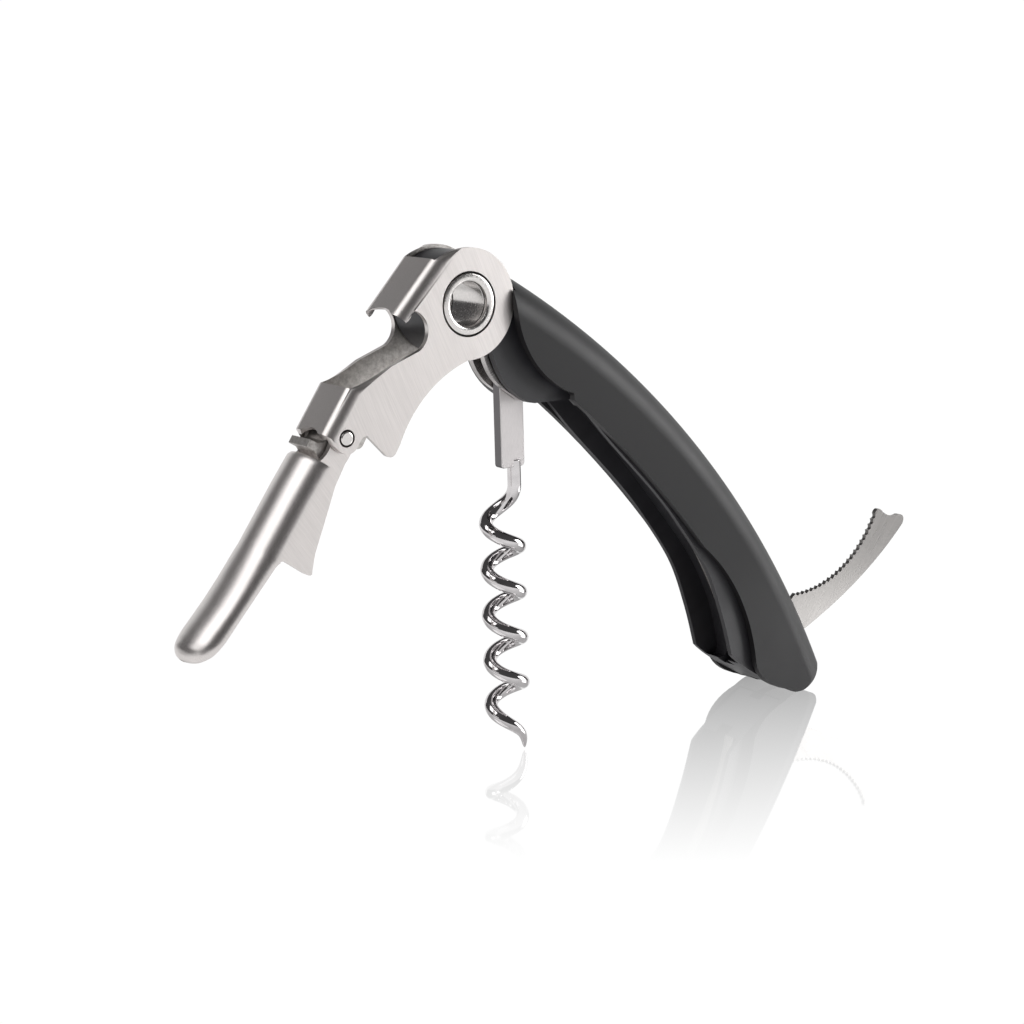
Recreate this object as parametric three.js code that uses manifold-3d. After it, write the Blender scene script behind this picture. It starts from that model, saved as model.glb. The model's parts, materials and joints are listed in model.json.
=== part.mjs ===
// Two-stage waiter's corkscrew: a curved handle that carries a folding worm, a hinged
// double lever with a cap lifter, and a serrated foil knife.
//
// Frame: millimetres, +Z up. The handle, worm and levers lie in the XZ plane and every hinge
// turns about Y. The model is drawn with the main pivot at the origin and is moved at the end,
// so that the origin is the middle of the foot of its bounding box.
import * as THREE from 'three';
import { mergeVertices } from 'three/addons/utils/BufferGeometryUtils.js';
import Module from 'manifold-3d';

const wasm = await Module();
wasm.setup();

const DEGREE = Math.PI / 180;

// ---------------------------------------------------------------- driving dimensions
const GAP = 0.3;                    // clearance between neighbouring pieces

// stack across the hub, from the middle plane outwards
const SHANK_THICKNESS = 2.0;
const LINER_THICKNESS = 1.2;
const FRAME_CHEEK = 1.4;
const SHEET = 1.0;                  // steel sheet of both levers
const linerInner = SHANK_THICKNESS / 2 + GAP;
const linerOuter = linerInner + LINER_THICKNESS;
const frameInner = linerOuter + GAP;
const frameOuter = frameInner + FRAME_CHEEK;
const leverInner = frameOuter + GAP;
const leverOuter = leverInner + SHEET;

// worm
const WIRE_RADIUS = 1.25;
const WORM_RADIUS = 4.2;            // outer radius of the coil
const WORM_PITCH = 8.5;
const WORM_TURNS = 4;               // full turns between the lead-in and the lead-out
const WORM_LEAN = 1.9;              // degrees from upright at rest
const SHANK_WIDTH = 5.2;
const SHANK_LENGTH = 17.5;          // from the worm pin down to the wire
const NECK_LENGTH = 4.6;             // straight wire below the shank
const LEAD_IN = 142.4;              // turn of the wire into and out of the coil, in degrees
const LEAD_OUT = 175;
const WORM_PIN = { x: 12.3, z: -12.7, radius: 1.5 };

// main pivot and hub
const PIVOT = { x: 0, z: 0 };
const BORE_RADIUS = 3.8;
const TUBE_WALL = 0.6;
const COLLAR_RADIUS = 5.3;
const COLLAR_STAND = 0.1;           // how far a collar stands proud of the lever's cheek
const TUBE_SHORT = 0.05;            // how far the tube ends inside the lever's cheeks
const HUB_RADIUS = 9.6;             // lever cheeks
const FRAME_HUB_WALL = 1.25;        // of the frame outside the liners' round ends
const SPINE_ANGLE = 48.1;           // direction of the upper lever's spine beside the hub
const SPINE_STAND = 0.66;           // how far that spine's outer face passes outside the cheeks
const tubeRadius = BORE_RADIUS + TUBE_WALL;
const spineReach = HUB_RADIUS + SPINE_STAND;
const frameHubRadius = spineReach - SHEET - GAP;
const linerHubRadius = frameHubRadius - FRAME_HUB_WALL - GAP;

// handle: its back is one long arc that starts beside the hub
const BACK_RADIUS = 191.66;
const BACK_LENGTH = 118.4;          // along the arc, from the hub to the handle's end
const BACK_ANGLE = 61.6;            // direction from the arc's centre to the hub's end of it
const BACK_START_ANGLE = 26.5;      // direction from the pivot to the same point
const backStart = HUB_RADIUS + 1.14;
const crown = {
  x: backStart * Math.cos(BACK_START_ANGLE * DEGREE) - BACK_RADIUS * Math.cos(BACK_ANGLE * DEGREE),
  z: backStart * Math.sin(BACK_START_ANGLE * DEGREE) - BACK_RADIUS * Math.sin(BACK_ANGLE * DEGREE),
  radius: BACK_RADIUS,
  start: BACK_ANGLE,
  end: BACK_ANGLE - BACK_LENGTH / BACK_RADIUS / DEGREE,
};
const SHELL_WALL = 1.3;
const SHELL_CROWN_WALL = 1.6;
const SHELL_CROWN_HEIGHT = 4.5;     // how far the rounded back falls to the straight sides
const HOLLOW_CROWN_HEIGHT = 4.0;
const FRAME_CROWN_HEIGHT = 3.8;
const CHANNEL_WALL = 1.0;
const CHANNEL_CLEARANCE = 0.1;      // beside the folded levers
const FRONT_RIM = 0.8;              // how far the shell's front edge stands past the frame
const channelInner = leverInner + CHANNEL_CLEARANCE;
const frameBodyOuter = channelInner + CHANNEL_WALL;
const shellInner = frameBodyOuter + GAP;
const shellOuter = shellInner + SHELL_WALL;
const cutReach = shellOuter + 1;    // a cut with this reach goes through everything
const FRONT_ARC = { x: HUB_RADIUS + 18.1, z: 0.7, radius: 18.66 };   // front edge of the shell
const HEEL_RADIUS = 39.6;           // lower edge near the handle's end
const END_WALL = 1.8;

// lever joint and levers
const LEVER_PIN = { x: -25.0, z: -20.5, radius: 1.2 };
const PIN_STAND = 0.15;             // how far the pin's ends stand proud
const EAR_SHEET = 1.0;
const earOuter = leverInner - GAP;
const POCKET = pinAt(onSpine(-11.12, 3.85), 3.7);         // round mouth of the cap lifter
const BITE_ARC = { x: 6.73, z: -31.51, radius: 23.02 };   // hollow between hub and first step
const LOWER_LEVER_LENGTH = 37.2;    // along its spine
const LOWER_LEVER_ANGLE = -127;     // direction of its spine at rest, in degrees

// foil knife
const BLADE_THICKNESS = 0.9;
const KNIFE_WASHER_THICKNESS = 0.5;
const KNIFE_WASHER_RADIUS = 3.4;
const KNIFE_PIN = pinAt(fromEnd(13.12, 6.37), 1.5);
const TANG_RADIUS = 4.2;
const EDGE_ARC = { x: -22.53, z: 22.32, radius: 24.54 };   // serrated edge, from the knife's pin
const SERRATIONS = 22;
const SERRATION_DEPTH = 0.45;
const bladeHalf = BLADE_THICKNESS / 2;
const washerOuter = bladeHalf + GAP + KNIFE_WASHER_THICKNESS;
const knifeSlot = washerOuter + GAP;
const SPRING_THICKNESS = 2.4;       // across the handle
const SPRING_PIN = pinAt(fromEnd(40.2, 10.2), 0.9);

// ---------------------------------------------------------------- shape helpers
// A closed outline in the XZ plane. Steps are [x, z] points, {arc} stretches or {curve} bends.
function outline(start, steps) {
  const shape = new THREE.Shape();
  shape.moveTo(start[0], start[1]);
  for (const step of steps) {
    if (step.arc) {
      const { x, z, radius } = step.arc;
      shape.absarc(x, z, radius, step.from * DEGREE, step.to * DEGREE, step.from > step.to);
    } else if (step.through) {
      shape.splineThru(step.through.map(([x, z]) => new THREE.Vector2(x, z)));
    } else if (step.bend) {
      shape.quadraticCurveTo(step.bend[0], step.bend[1], step.to[0], step.to[1]);
    } else {
      shape.lineTo(step[0], step[1]);
    }
  }
  return shape;
}

function pointOn(arc, degrees, inset = 0) {
  const radius = arc.radius - inset;
  return [arc.x + radius * Math.cos(degrees * DEGREE), arc.z + radius * Math.sin(degrees * DEGREE)];
}

// Points in the handle: so far along its back from the hub, or from the end, or by a share of
// its length, and so deep below the back.
function fromHub(distance, depth) {
  return pointOn(crown, crown.start - distance / crown.radius / DEGREE, depth);
}

function fromEnd(distance, depth) {
  return fromHub(BACK_LENGTH - distance, depth);
}

function partWay(share, depth) {
  return fromHub(BACK_LENGTH * share, depth);
}

function pinAt([x, z], radius) {
  return { x, z, radius };
}

// A point beside the hub: so far up the outer face of the upper lever's spine, and so deep below it.
function onSpine(distance, depth = 0) {
  const along = SPINE_ANGLE * DEGREE;
  const reach = spineReach - depth;
  return [
    distance * Math.cos(along) - reach * Math.sin(along),
    distance * Math.sin(along) + reach * Math.cos(along),
  ];
}

function solid(geometry) {
  geometry.deleteAttribute('normal');
  geometry.deleteAttribute('uv');
  const merged = mergeVertices(geometry, 1e-4);
  return new wasm.Manifold(new wasm.Mesh({
    numProp: 3,
    vertProperties: new Float32Array(merged.attributes.position.array),
    triVerts: new Uint32Array(merged.index.array),
  }));
}

// An outline in the XZ plane, thickened between two values of Y.
function plate(shape, yLow, yHigh, curveSegments = 7) {
  const geometry = new THREE.ExtrudeGeometry(shape, {
    depth: yHigh - yLow, bevelEnabled: false, curveSegments,
  });
  geometry.rotateX(Math.PI / 2);
  geometry.translate(0, yHigh, 0);
  return solid(geometry);
}

// A round bar along Y.
function bar({ x, z }, radius, yLow, yHigh, segments = 28) {
  const geometry = new THREE.CylinderGeometry(radius, radius, yHigh - yLow, segments);
  geometry.translate(x, (yLow + yHigh) / 2, z);
  return solid(geometry);
}

// A flat strip along a line in the XZ plane, lying on the line's right-hand side.
function strip(from, to, thickness, yHalf) {
  const length = Math.hypot(to[0] - from[0], to[1] - from[1]);
  const along = [(to[0] - from[0]) / length, (to[1] - from[1]) / length];
  const aside = [along[1] * thickness, -along[0] * thickness];
  return plate(outline(from, [
    to,
    [to[0] + aside[0], to[1] + aside[1]],
    [from[0] + aside[0], from[1] + aside[1]],
  ]), -yHalf, yHalf);
}

// A plate whose back is rounded across, following the long arc of the handle's back.
function crowned(shape, half, inset, crownHeight) {
  const top = crown.radius - inset;
  const profile = [new THREE.Vector2(0, -half)];
  const steps = 8;
  for (let i = 0; i <= steps; i += 1) {
    const angle = Math.PI * (i / steps - 0.5);
    const fall = crownHeight * (1 - Math.cos(angle));
    profile.push(new THREE.Vector2(top - fall, half * Math.sin(angle)));
  }
  profile.push(new THREE.Vector2(0, half));
  const disc = new THREE.LatheGeometry(profile, 110);
  disc.translate(crown.x, 0, crown.z);
  return plate(shape, -half, half, 8).intersect(solid(disc));
}

const part = new THREE.Group();

function add(name, body, material) {
  const mesh = body.getMesh();
  const geometry = new THREE.BufferGeometry();
  geometry.setAttribute('position', new THREE.BufferAttribute(mesh.vertProperties, 3));
  geometry.setIndex(new THREE.BufferAttribute(mesh.triVerts, 1));
  geometry.computeVertexNormals();
  const piece = new THREE.Mesh(geometry, material);
  piece.name = name;
  part.add(piece);
}

// ---------------------------------------------------------------- materials
function finish(color, roughness, metalness) {
  return new THREE.MeshStandardMaterial({ color, roughness, metalness });
}

const softTouch = finish(0x1c1b1d, 0.62, 0);
const framePlastic = finish(0x353337, 0.5, 0);
const brushedSteel = finish(0xb9b4b2, 0.32, 1);
const rawSteel = finish(0x9a938c, 0.5, 1);
const polishedSteel = finish(0x8f8a88, 0.14, 1);
const bladeSteel = finish(0xa9a6a4, 0.35, 1);

// ---------------------------------------------------------------- handle
const FRONT_START = 251.3;          // angles on the front arc, in degrees
const FRONT_END = 180;
const heelArc = pinAt(fromEnd(36.0, 52.9), HEEL_RADIUS);
const lip = pointOn(FRONT_ARC, FRONT_START);
const endSlant = (crown.end + 171.9) * DEGREE;   // along the slanted end, from back to mouth

function shellOutline() {
  return outline(pointOn(crown, crown.start), [
    { arc: crown, from: crown.start, to: crown.end },
    { bend: fromEnd(-1.8, 0.5), to: fromEnd(-1.0, 3.4) },
    { bend: fromEnd(-0.8, 9.1), to: fromEnd(4.0, 13.7) },
    { bend: fromEnd(9.6, 18.3), to: pointOn(heelArc, crown.end - 18.2) },
    { arc: heelArc, from: crown.end - 18.2, to: crown.end + 25.1 },
    { bend: partWay(0.398, 12.9), to: [lip[0] + 0.1, lip[1] - 1.3] },
    lip,
    { arc: FRONT_ARC, from: FRONT_START, to: FRONT_END },
  ]);
}

// The region inside the shell: open at the front and below, closed at the slanted end.
function shellHollow(endGap) {
  const [x, z] = fromEnd(0, 0);
  const top = [x - 0.6, z + endGap];
  const reach = 30;
  return outline([-5, 30], [
    [top[0] - Math.cos(endSlant) * reach, top[1] - Math.sin(endSlant) * reach],
    [top[0] + Math.cos(endSlant) * reach, top[1] + Math.sin(endSlant) * reach],
    [-5, -60],
  ]);
}

// The path that the blade sweeps from folded to wide open, as a region in the XZ plane.
const bladeSlotOutline = outline(fromEnd(16.2, 12.2), [
  fromEnd(26.8, 9.6),
  fromEnd(38.6, 9.4),
  fromEnd(56.5, 9.4),
  fromEnd(63.3, 8.8),
  fromEnd(63.1, -22.8),
  fromEnd(6.7, -28.0),
  fromEnd(-22.9, -0.8),
  fromEnd(-15.9, 17.0),
  fromEnd(11.3, 13.0),
]);

let handleShell = crowned(shellOutline(), shellOuter, 0, SHELL_CROWN_HEIGHT);
handleShell = handleShell.subtract(
  crowned(shellHollow(END_WALL), shellInner, SHELL_CROWN_WALL, HOLLOW_CROWN_HEIGHT),
);
handleShell = handleShell.subtract(
  bar(PIVOT, HUB_RADIUS + GAP, -leverOuter - GAP, leverOuter + GAP, 40),
);
handleShell = handleShell.subtract(plate(bladeSlotOutline, -bladeHalf - GAP * 2, bladeHalf + GAP * 2));
add('handle_shell', handleShell, softTouch);

// floor of the channel that takes the folded worm
const channelFloor = [
  partWay(0.302, 10.0),
  partWay(0.429, 11.0),
  partWay(0.551, 11.7),
  fromEnd(38.8, 11.9),
  fromEnd(26.8, 13.2),
  fromEnd(16.2, 15.9),
];

function frameBodyOutline() {
  const inner = { ...FRONT_ARC, radius: FRONT_ARC.radius - GAP - FRONT_RIM };
  const rimStart = pointOn(inner, FRONT_START - 3);
  return outline(pointOn(inner, FRONT_END), [
    [12, 12],
    partWay(0.54, -68),
    fromEnd(-7, -18),
    fromEnd(3.1, 9.0),
    fromEnd(4.4, 13.3),
    { bend: fromEnd(14.9, 19.4), to: fromEnd(19.9, 20.5) },
    {
      through: [
        fromEnd(29.3, 18.1),
        fromEnd(40.7, 15.7),
        partWay(0.542, 14.9),
        partWay(0.452, 14.5),
        partWay(0.302, 13.8),
        rimStart,
      ],
    },
    { arc: inner, from: FRONT_START - 3, to: FRONT_END },
  ]);
}

const frameBody = crowned(
  frameBodyOutline(), frameBodyOuter, SHELL_CROWN_WALL + GAP, FRAME_CROWN_HEIGHT,
).intersect(plate(shellHollow(END_WALL + GAP), -frameBodyOuter, frameBodyOuter));

const frontTop = { ...crown, radius: crown.radius - FRAME_CROWN_HEIGHT };
const frameFrontOutline = outline([5.2, -7.2], [
  [5.9, -8.9],
  [7.1, -11.8],
  { bend: [9.2, -16.0], to: [13.6, -18.2] },
  [15.2, -18.5],
  [27, -18.5],
  { arc: frontTop, from: crown.start - 8.6, to: crown.start },
  [0, 0],
]);
const frameFront = plate(frameFrontOutline, -frameOuter, frameOuter)
  .add(bar(PIVOT, frameHubRadius, -frameOuter, frameOuter, 56));

// liner plates fill a pocket that opens at the bolster's lower edge
const linerHub = { ...PIVOT, radius: linerHubRadius };
const linerOutline = outline(pointOn(linerHub, -52.7), [
  [5.3, -9.6],
  { bend: [6.4, -13.6], to: [9.8, -15.8] },
  [13.2, -18.0],
  [24.4, -18.0],
  [28.0, -14.4],
  [20.6, -7.6],
  pointOn(linerHub, 12.5),
  [0, 0],
]);
const linerPocketOutline = outline(pointOn(linerHub, -55.4), [
  [4.6, -9.6],
  [4.6, -30],
  [36, -30],
  [28.5, -14.2],
  [20.8, -7.2],
  pointOn(linerHub, 15.1, -GAP),
  [0, 0],
]);

const channelOutline = outline([25.6, -17.2], [
  { through: channelFloor },
  { bend: fromEnd(13.4, 17.5), to: fromEnd(16.1, 19.3) },
  fromEnd(5.6, 33.8),
  [20, -50],
]);

const springSlotOutline = outline(fromEnd(46.7, 10.6), [
  fromEnd(41.6, 7.1),
  fromEnd(19.9, 7.9),
  fromEnd(12.2, 12.3),
  fromEnd(14.1, 20.1),
  fromEnd(33.6, 16.1),
]);

let frameSolid = frameBody.add(frameFront);
frameSolid = frameSolid.subtract(plate(channelOutline, -channelInner, channelInner));
frameSolid = frameSolid.subtract(plate(linerPocketOutline, -frameInner, frameInner));
frameSolid = frameSolid.subtract(bar(PIVOT, linerHubRadius + GAP, -frameInner, frameInner, 48));
frameSolid = frameSolid.subtract(plate(bladeSlotOutline, -knifeSlot, knifeSlot));
frameSolid = frameSolid.subtract(plate(springSlotOutline, -knifeSlot, knifeSlot));
frameSolid = frameSolid.subtract(bar(PIVOT, tubeRadius + GAP, -cutReach, cutReach, 40));
for (const pin of [KNIFE_PIN, SPRING_PIN]) {
  frameSolid = frameSolid.subtract(bar(pin, pin.radius + GAP, -cutReach, cutReach, 24));
}
add('handle_frame', frameSolid, framePlastic);

// ---------------------------------------------------------------- liners and their rivets
const LINER_RIVETS = [
  { name: 'liner_rivet_front', x: 13.6, z: -6.2, radius: 1.2 },
  { name: 'liner_rivet_rear', x: 22.6, z: -12.6, radius: 1.2 },
];
for (const [name, side] of [['liner_near', -1], ['liner_far', 1]]) {
  const low = side < 0 ? -linerOuter : linerInner;
  const high = side < 0 ? -linerInner : linerOuter;
  let liner = plate(linerOutline, low, high).add(bar(PIVOT, linerHubRadius, low, high, 48));
  liner = liner.subtract(bar(PIVOT, tubeRadius + GAP, -cutReach, cutReach, 40));
  liner = liner.subtract(bar(WORM_PIN, WORM_PIN.radius + GAP, -cutReach, cutReach, 24));
  for (const rivet of LINER_RIVETS) {
    liner = liner.subtract(bar(rivet, rivet.radius + GAP, -cutReach, cutReach, 20));
  }
  add(name, liner, brushedSteel);
}
for (const rivet of LINER_RIVETS) {
  add(rivet.name, bar(rivet, rivet.radius, -linerOuter, linerOuter, 20), rawSteel);
}
add('worm_pin', bar(WORM_PIN, WORM_PIN.radius, -linerOuter, linerOuter, 24), rawSteel);

// ---------------------------------------------------------------- main pivot
const tubeEnd = leverInner - TUBE_SHORT;
const pivotTube = bar(PIVOT, tubeRadius, -tubeEnd, tubeEnd, 40)
  .subtract(bar(PIVOT, BORE_RADIUS, -cutReach, cutReach, 40));
add('pivot_tube', pivotTube, brushedSteel);
for (const [name, side] of [['pivot_collar_near', -1], ['pivot_collar_far', 1]]) {
  const inside = side * (tubeEnd + GAP);
  const outside = side * (leverOuter + COLLAR_STAND);
  const collar = bar(PIVOT, COLLAR_RADIUS, Math.min(inside, outside), Math.max(inside, outside), 48)
    .subtract(bar(PIVOT, BORE_RADIUS, -cutReach, cutReach, 40));
  add(name, collar, brushedSteel);
}

// ---------------------------------------------------------------- upper lever
const spineHalf = leverOuter - 0.02;   // a spine ends just inside the faces that it joins
const spineWaist = [-24.0, -12.3];
const spineFoot = [-28.9, -19.6];
const spineTop = onSpine(1.4);
const spineLip = onSpine(-10.4);
const hubArc = { ...PIVOT, radius: HUB_RADIUS };
const upperLeverOutline = outline(pointOn(hubArc, 100), [
  { bend: onSpine(3.6, 0.8), to: spineTop },
  spineLip,
  { bend: onSpine(-9.7, 0.4), to: pointOn(POCKET, 100) },
  { arc: POCKET, from: 100, to: -60 },
  { bend: [-12.4, -8.0], to: [-15.9, -9.3] },
  { bend: [-20.6, -11.9], to: spineWaist },
  spineFoot,
  [-28.2, -20.9],
  { bend: [-27.2, -22.7], to: [-25.0, -23.2] },
  { bend: [-23.4, -23.2], to: [-22.6, -21.6] },
  { bend: [-21.9, -20.3], to: [-21.0, -20.5] },
  [-17.3, -24.2],
  { bend: [-16.3, -25.0], to: [-15.4, -24.1] },
  pointOn(BITE_ARC, 157),
  { arc: BITE_ARC, from: 157, to: 109 },
  { arc: hubArc, from: -92, to: 100 },
]);
let upperLever = plate(upperLeverOutline, -leverOuter, -leverInner)
  .add(plate(upperLeverOutline, leverInner, leverOuter))
  .add(strip(spineLip, spineTop, SHEET, spineHalf))
  .add(strip(spineFoot, spineWaist, SHEET, spineHalf));
upperLever = upperLever.subtract(bar(PIVOT, COLLAR_RADIUS + GAP, -cutReach, cutReach, 48));
upperLever = upperLever.subtract(bar(LEVER_PIN, LEVER_PIN.radius + GAP, -cutReach, cutReach, 20));
add('lever_upper', upperLever, brushedSteel);
const leverPinEnd = leverOuter + PIN_STAND;
add('lever_pin', bar(LEVER_PIN, LEVER_PIN.radius, -leverPinEnd, leverPinEnd, 20), brushedSteel);

// ---------------------------------------------------------------- lower lever
const lowerTop = [-31.6, -22.7];
const spineAngle = LOWER_LEVER_ANGLE * DEGREE;

// A point so far down the lower lever's spine and so far inside it.
function down(distance, aside) {
  return [
    lowerTop[0] + distance * Math.cos(spineAngle) - aside * Math.sin(spineAngle),
    lowerTop[1] + distance * Math.sin(spineAngle) + aside * Math.cos(spineAngle),
  ];
}

const lowerTip = down(LOWER_LEVER_LENGTH, 0);
const lowerLeverOutline = outline(lowerTop, [
  lowerTip,
  { bend: down(LOWER_LEVER_LENGTH + 2.0, 0.7), to: down(LOWER_LEVER_LENGTH + 0.8, 2.6) },
  { bend: down(LOWER_LEVER_LENGTH - 2.8, 3.4), to: down(LOWER_LEVER_LENGTH - 7.3, 3.7) },
  down(18.5, 4.55),
  { bend: down(16.5, 4.4), to: down(16.3, 5.8) },
  down(16.7, 11.2),
  { bend: [-31.6, -43.3], to: [-31.1, -41.8] },
  { bend: [-29.9, -35.4], to: [-27.4, -29.7] },
  [-25.0, -24.8],
  [-27.9, -23.5],
  [-29.6, -23.5],
]);
const earOutline = outline([-25.0, -18.2], [
  { bend: [-22.8, -18.4], to: [-22.8, -20.6] },
  { bend: [-22.8, -23.0], to: [-24.6, -24.9] },
  [-27.4, -29.8],
  [-33.6, -28.6],
  [-31.0, -24.6],
  { bend: [-27.6, -23.6], to: [-27.1, -20.6] },
  { bend: [-26.8, -18.6], to: [-25.0, -18.2] },
]);
const neckOutline = outline([-27.0, -26.6], [
  [-28.0, -30.2],
  [-33.6, -28.6],
  [-31.0, -24.6],
  [-29.0, -25.2],
]);
let lowerLever = plate(lowerLeverOutline, -leverOuter, -leverInner)
  .add(plate(lowerLeverOutline, leverInner, leverOuter))
  .add(strip(lowerTip, lowerTop, SHEET, spineHalf))
  .add(plate(earOutline, -earOuter, -earOuter + EAR_SHEET))
  .add(plate(earOutline, earOuter - EAR_SHEET, earOuter))
  .add(plate(neckOutline, -spineHalf, -earOuter + EAR_SHEET))
  .add(plate(neckOutline, earOuter - EAR_SHEET, spineHalf));
lowerLever = lowerLever.subtract(bar(LEVER_PIN, LEVER_PIN.radius + GAP, -cutReach, cutReach, 20));
add('lever_lower', lowerLever, brushedSteel);

// the plate between the ears that stops the lower lever against the upper one
const stopHalf = earOuter - EAR_SHEET - GAP;
const stopOutline = outline([-30.4, -20.4], [
  [-31.2, -21.6],
  [-29.8, -22.4],
  [-28.6, -24.4],
  [-26.9, -23.2],
  { bend: [-24.6, -23.8], to: [-23.2, -22.0] },
  { bend: [-22.4, -19.6], to: [-24.4, -18.6] },
  { bend: [-26.0, -18.4], to: [-26.6, -19.8] },
  [-27.8, -21.0],
  [-29.0, -21.1],
]);
const stopPlate = plate(stopOutline, -stopHalf, stopHalf)
  .subtract(bar(LEVER_PIN, LEVER_PIN.radius + GAP, -cutReach, cutReach, 20));
add('lever_stop_plate', stopPlate, rawSteel);

// ---------------------------------------------------------------- worm
// The wire leaves the shank straight, leads into the coil, and leads out into a steep point.
class WormCurve extends THREE.Curve {
  constructor() {
    super();
    this.radius = WORM_RADIUS - WIRE_RADIUS;
    this.rate = 2 * Math.PI / WORM_PITCH;
    this.leadIn = { angle: LEAD_IN * DEGREE, length: 2 * LEAD_IN * DEGREE / this.rate };
    this.leadOut = { angle: LEAD_OUT * DEGREE, length: 2 * LEAD_OUT * DEGREE / this.rate };
    this.coilLength = WORM_TURNS * WORM_PITCH;
    this.length = NECK_LENGTH + this.leadIn.length + this.coilLength + this.leadOut.length;
  }

  // turn of the wire about the coil's axis at a depth below the shank
  turnAt(depth) {
    let rest = depth - NECK_LENGTH;
    if (rest <= 0) return 0;
    if (rest <= this.leadIn.length) return this.leadIn.angle * (rest / this.leadIn.length) ** 2;
    rest -= this.leadIn.length;
    if (rest <= this.coilLength) return this.leadIn.angle + this.rate * rest;
    rest = 1 - (rest - this.coilLength) / this.leadOut.length;
    return this.leadIn.angle + this.rate * this.coilLength + this.leadOut.angle * (1 - rest * rest);
  }

  getPoint(t, target = new THREE.Vector3()) {
    const depth = t * this.length;
    const turn = this.turnAt(depth);
    return target.set(
      this.radius * (Math.cos(turn) - 1) + WIRE_OFFSET,
      this.radius * Math.sin(turn),
      -SHANK_LENGTH + WIRE_RADIUS - depth,
    );
  }
}
const WIRE_OFFSET = 0.9;            // of the wire from the shank's middle line
const WIRE_SIDES = 4;                // segments in each half of the wire's section
const WIRE_STEPS = 84;

const wireSection = new THREE.Shape();
wireSection.absarc(0, 0, WIRE_RADIUS, 0, 2 * Math.PI, false);
const wormCurve = new WormCurve();
const wire = new THREE.ExtrudeGeometry(wireSection, {
  steps: WIRE_STEPS, curveSegments: WIRE_SIDES, extrudePath: wormCurve,
});
const shankHalf = SHANK_WIDTH / 2;
const shankOutline = outline([-shankHalf, 0], [
  [-shankHalf, -SHANK_LENGTH],
  [shankHalf, -SHANK_LENGTH],
  [shankHalf, 0],
  { arc: { x: 0, z: 0, radius: shankHalf }, from: 0, to: 180 },
]);
const worm = plate(shankOutline, -SHANK_THICKNESS / 2, SHANK_THICKNESS / 2)
  .subtract(bar(PIVOT, WORM_PIN.radius + GAP, -cutReach, cutReach, 24))
  .add(solid(wire))
  .rotate([0, -WORM_LEAN, 0])
  .translate([WORM_PIN.x, 0, WORM_PIN.z]);
add('worm', worm, polishedSteel);

// ---------------------------------------------------------------- foil knife
// The edge is a hollow arc cut with small round serrations; the back is a long bulging arc.
// It is drawn from the knife's pin, with X along the handle's back and Z out of it.
function bladeOutline() {
  const first = 327.9;              // angles on the edge arc, in degrees
  const last = 393.9;
  const steps = [];
  const perTooth = 3;
  for (let i = 0; i <= SERRATIONS * perTooth; i += 1) {
    const angle = first + (last - first) * i / (SERRATIONS * perTooth);
    const depth = SERRATION_DEPTH * Math.sin(Math.PI * i / perTooth) ** 2;
    steps.push(pointOn(EDGE_ARC, angle, -depth));
  }
  return outline([-1.4, 7.6], [
    { bend: [-1.7, 8.8], to: pointOn(EDGE_ARC, first) },
    ...steps,
    { bend: [-3.2, 37.6], to: [-0.9, 38.1] },
    { bend: [1.9, 39.5], to: [2.3, 41.6] },
    { bend: [3.8, 43.7], to: [5.0, 41.8] },
    { bend: [8.8, 26.9], to: [6.5, 7.9] },
    [4.2, -0.3],
    [-2.0, -1.9],
  ]);
}
const knifeNormal = Math.atan2(KNIFE_PIN.z - crown.z, KNIFE_PIN.x - crown.x) / DEGREE;
const knifeBlade = plate(bladeOutline(), -bladeHalf, bladeHalf, 8)
  .rotate([0, 90 - knifeNormal, 0])
  .translate([KNIFE_PIN.x, 0, KNIFE_PIN.z])
  .add(bar(KNIFE_PIN, TANG_RADIUS, -bladeHalf, bladeHalf, 36))
  .subtract(bar(KNIFE_PIN, KNIFE_PIN.radius + GAP, -cutReach, cutReach, 24));
add('knife_blade', knifeBlade, bladeSteel);
for (const [name, side] of [['knife_washer_near', -1], ['knife_washer_far', 1]]) {
  const low = side < 0 ? -washerOuter : bladeHalf + GAP;
  const high = side < 0 ? -bladeHalf - GAP : washerOuter;
  const washer = bar(KNIFE_PIN, KNIFE_WASHER_RADIUS, low, high, 32)
    .subtract(bar(KNIFE_PIN, KNIFE_PIN.radius + GAP, -cutReach, cutReach, 24));
  add(name, washer, brushedSteel);
}
add('knife_pin', bar(KNIFE_PIN, KNIFE_PIN.radius, -frameBodyOuter, frameBodyOuter, 24), rawSteel);

// a flat spring under the tang, seen through the channel's floor
const springOutline = outline(fromEnd(42.3, 9.6), [
  { through: [fromEnd(32.3, 10.6), fromEnd(22.8, 12.2), fromEnd(14.8, 14.5)] },
  fromEnd(15.5, 16.8),
  { through: [fromEnd(23.3, 14.7), fromEnd(32.9, 13.2), fromEnd(42.5, 12.1)] },
]);
const spring = plate(springOutline, -SPRING_THICKNESS / 2, SPRING_THICKNESS / 2)
  .subtract(bar(SPRING_PIN, SPRING_PIN.radius + GAP, -cutReach, cutReach, 16));
add('knife_backspring', spring, rawSteel);
add('spring_pin', bar(SPRING_PIN, SPRING_PIN.radius, -frameBodyOuter, frameBodyOuter, 20), rawSteel);

// ---------------------------------------------------------------- place the origin
const bounds = new THREE.Box3().setFromObject(part);
part.position.set(
  -(bounds.min.x + bounds.max.x) / 2,
  -(bounds.min.y + bounds.max.y) / 2,
  -bounds.min.z,
);

export default part;
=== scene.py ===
"""A two-stage waiter's corkscrew, open, standing on its worm and the end of its handle.

Lengths are in millimetres from the main pivot, X along the tool, Y across it and Z up, until
at() turns them into the frame's metres.
"""
import json
import math

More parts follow.
